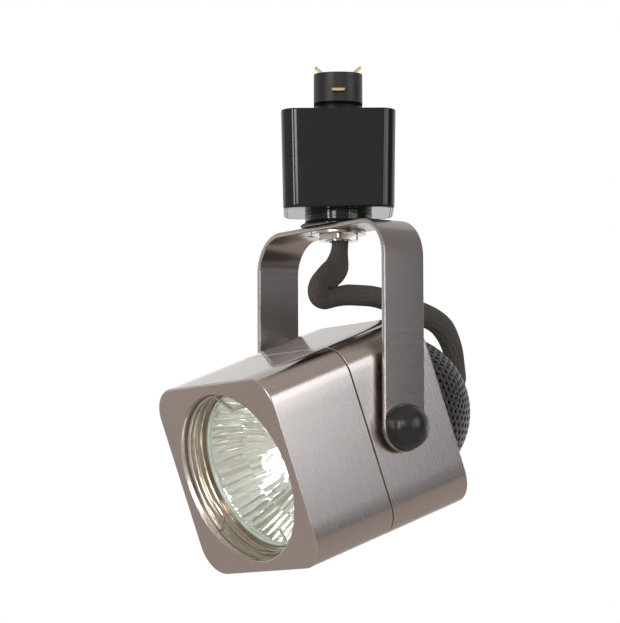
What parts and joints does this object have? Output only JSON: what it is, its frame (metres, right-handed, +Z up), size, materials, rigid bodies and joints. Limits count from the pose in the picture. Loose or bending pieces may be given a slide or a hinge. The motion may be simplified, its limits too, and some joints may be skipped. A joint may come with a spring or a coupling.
{
  "type": "track spotlight",
  "caption": "Square track spotlight: black rail adapter, swivel stem, flat steel yoke, brushed lamp head with a recessed lamp, pierced rear dome and side knobs.",
  "frame": {"origin": "centre of the adapter's top face, where it meets the rail, on the axis of the swivel stem", "axes": "+Z up out of the adapter into the rail, +X along the rail, -Y towards the viewer of the picture; the head is stored as the picture aims it, panned -54.2 degrees and tilted 21.1 degrees down"},
  "size_m": [0.096, 0.0911, 0.157],
  "materials": {
    "adapter_black": "gloss black moulding",
    "key_plastic": "matt black moulding",
    "contact_metal": "bare stamped alloy",
    "plated_steel": "bright nickel plate",
    "brushed_yoke": "brushed nickel plate, grain along the strap's width",
    "brushed_shell": "brushed nickel plate, grain round the perimeter",
    "polished_cup": "turned and polished",
    "lamp_mirror": "faceted mirror coating on glass",
    "lamp_glass": "clear glass",
    "ceramic_white": "unglazed white ceramic",
    "dome_paint": "matt dark grey paint on pierced sheet",
    "bush_rubber": "black rubber",
    "knob_plastic": "gloss charcoal moulding",
    "braid": "black braided sleeve",
    "lead_cover": "insulated lead"
  },
  "bodies": {
    "adapter": {"adapter_housing": "adapter_black", "adapter_base": "adapter_black", "contact_carrier": "key_plastic", "line_contact": "contact_metal", "neutral_contact": "contact_metal", "ground_contact": "contact_metal", "stem_nipple": "plated_steel", "stem_locknut": "plated_steel", "stem_nut": "plated_steel", "friction_washer": "plated_steel", "swivel_collar": "adapter_black", "adapter_leads": "lead_cover"},
    "yoke_arm": {"yoke": "brushed_yoke", "cable_sleeve": "braid"},
    "head": {"front_shell": "brushed_shell", "rear_shell": "brushed_shell", "housing_screws": "plated_steel", "lamp_cup": "polished_cup", "retaining_ring": "plated_steel", "lamp_reflector": "lamp_mirror", "lamp_lens": "lamp_glass", "lamp_base": "ceramic_white", "lamp_capsule": "lamp_glass", "lamp_pins": "contact_metal", "socket_bracket": "plated_steel", "lamp_socket": "ceramic_white", "socket_screws": "plated_steel", "vent_dome": "dome_paint", "cable_bush": "bush_rubber", "pivot_nut_left": "plated_steel", "pivot_spacer_left": "key_plastic", "pivot_nut_right": "plated_steel", "pivot_spacer_right": "key_plastic", "socket_leads": "lead_cover"},
    "left_knob": {"knob_left": "knob_plastic", "knob_stud_left": "plated_steel"},
    "right_knob": {"knob_right": "knob_plastic", "knob_stud_right": "plated_steel"}
  },
  "joints": [
    {"name": "pan", "type": "hinge", "parent": "adapter", "child": "yoke_arm", "pos_m": [0, 0, -0.036], "axis": [0, 0, 1], "range_deg": [-37.5, 295.5]},
    {"name": "tilt", "type": "hinge", "parent": "yoke_arm", "child": "head", "pos_m": [0, 0, -0.0991], "axis": [0.585, -0.8111, 0], "range_deg": [-36.1, 68.9], "deforming": ["cable_sleeve"]},
    {"name": "knob_left_turn", "type": "hinge", "parent": "head", "child": "left_knob", "pos_m": [0, 0, -0.0991], "axis": [-0.585, 0.8111, 0], "range_deg": [0, 360]},
    {"name": "knob_right_turn", "type": "hinge", "parent": "head", "child": "right_knob", "pos_m": [0, 0, -0.0991], "axis": [0.585, -0.8111, 0], "range_deg": [0, 360]}
  ]
}
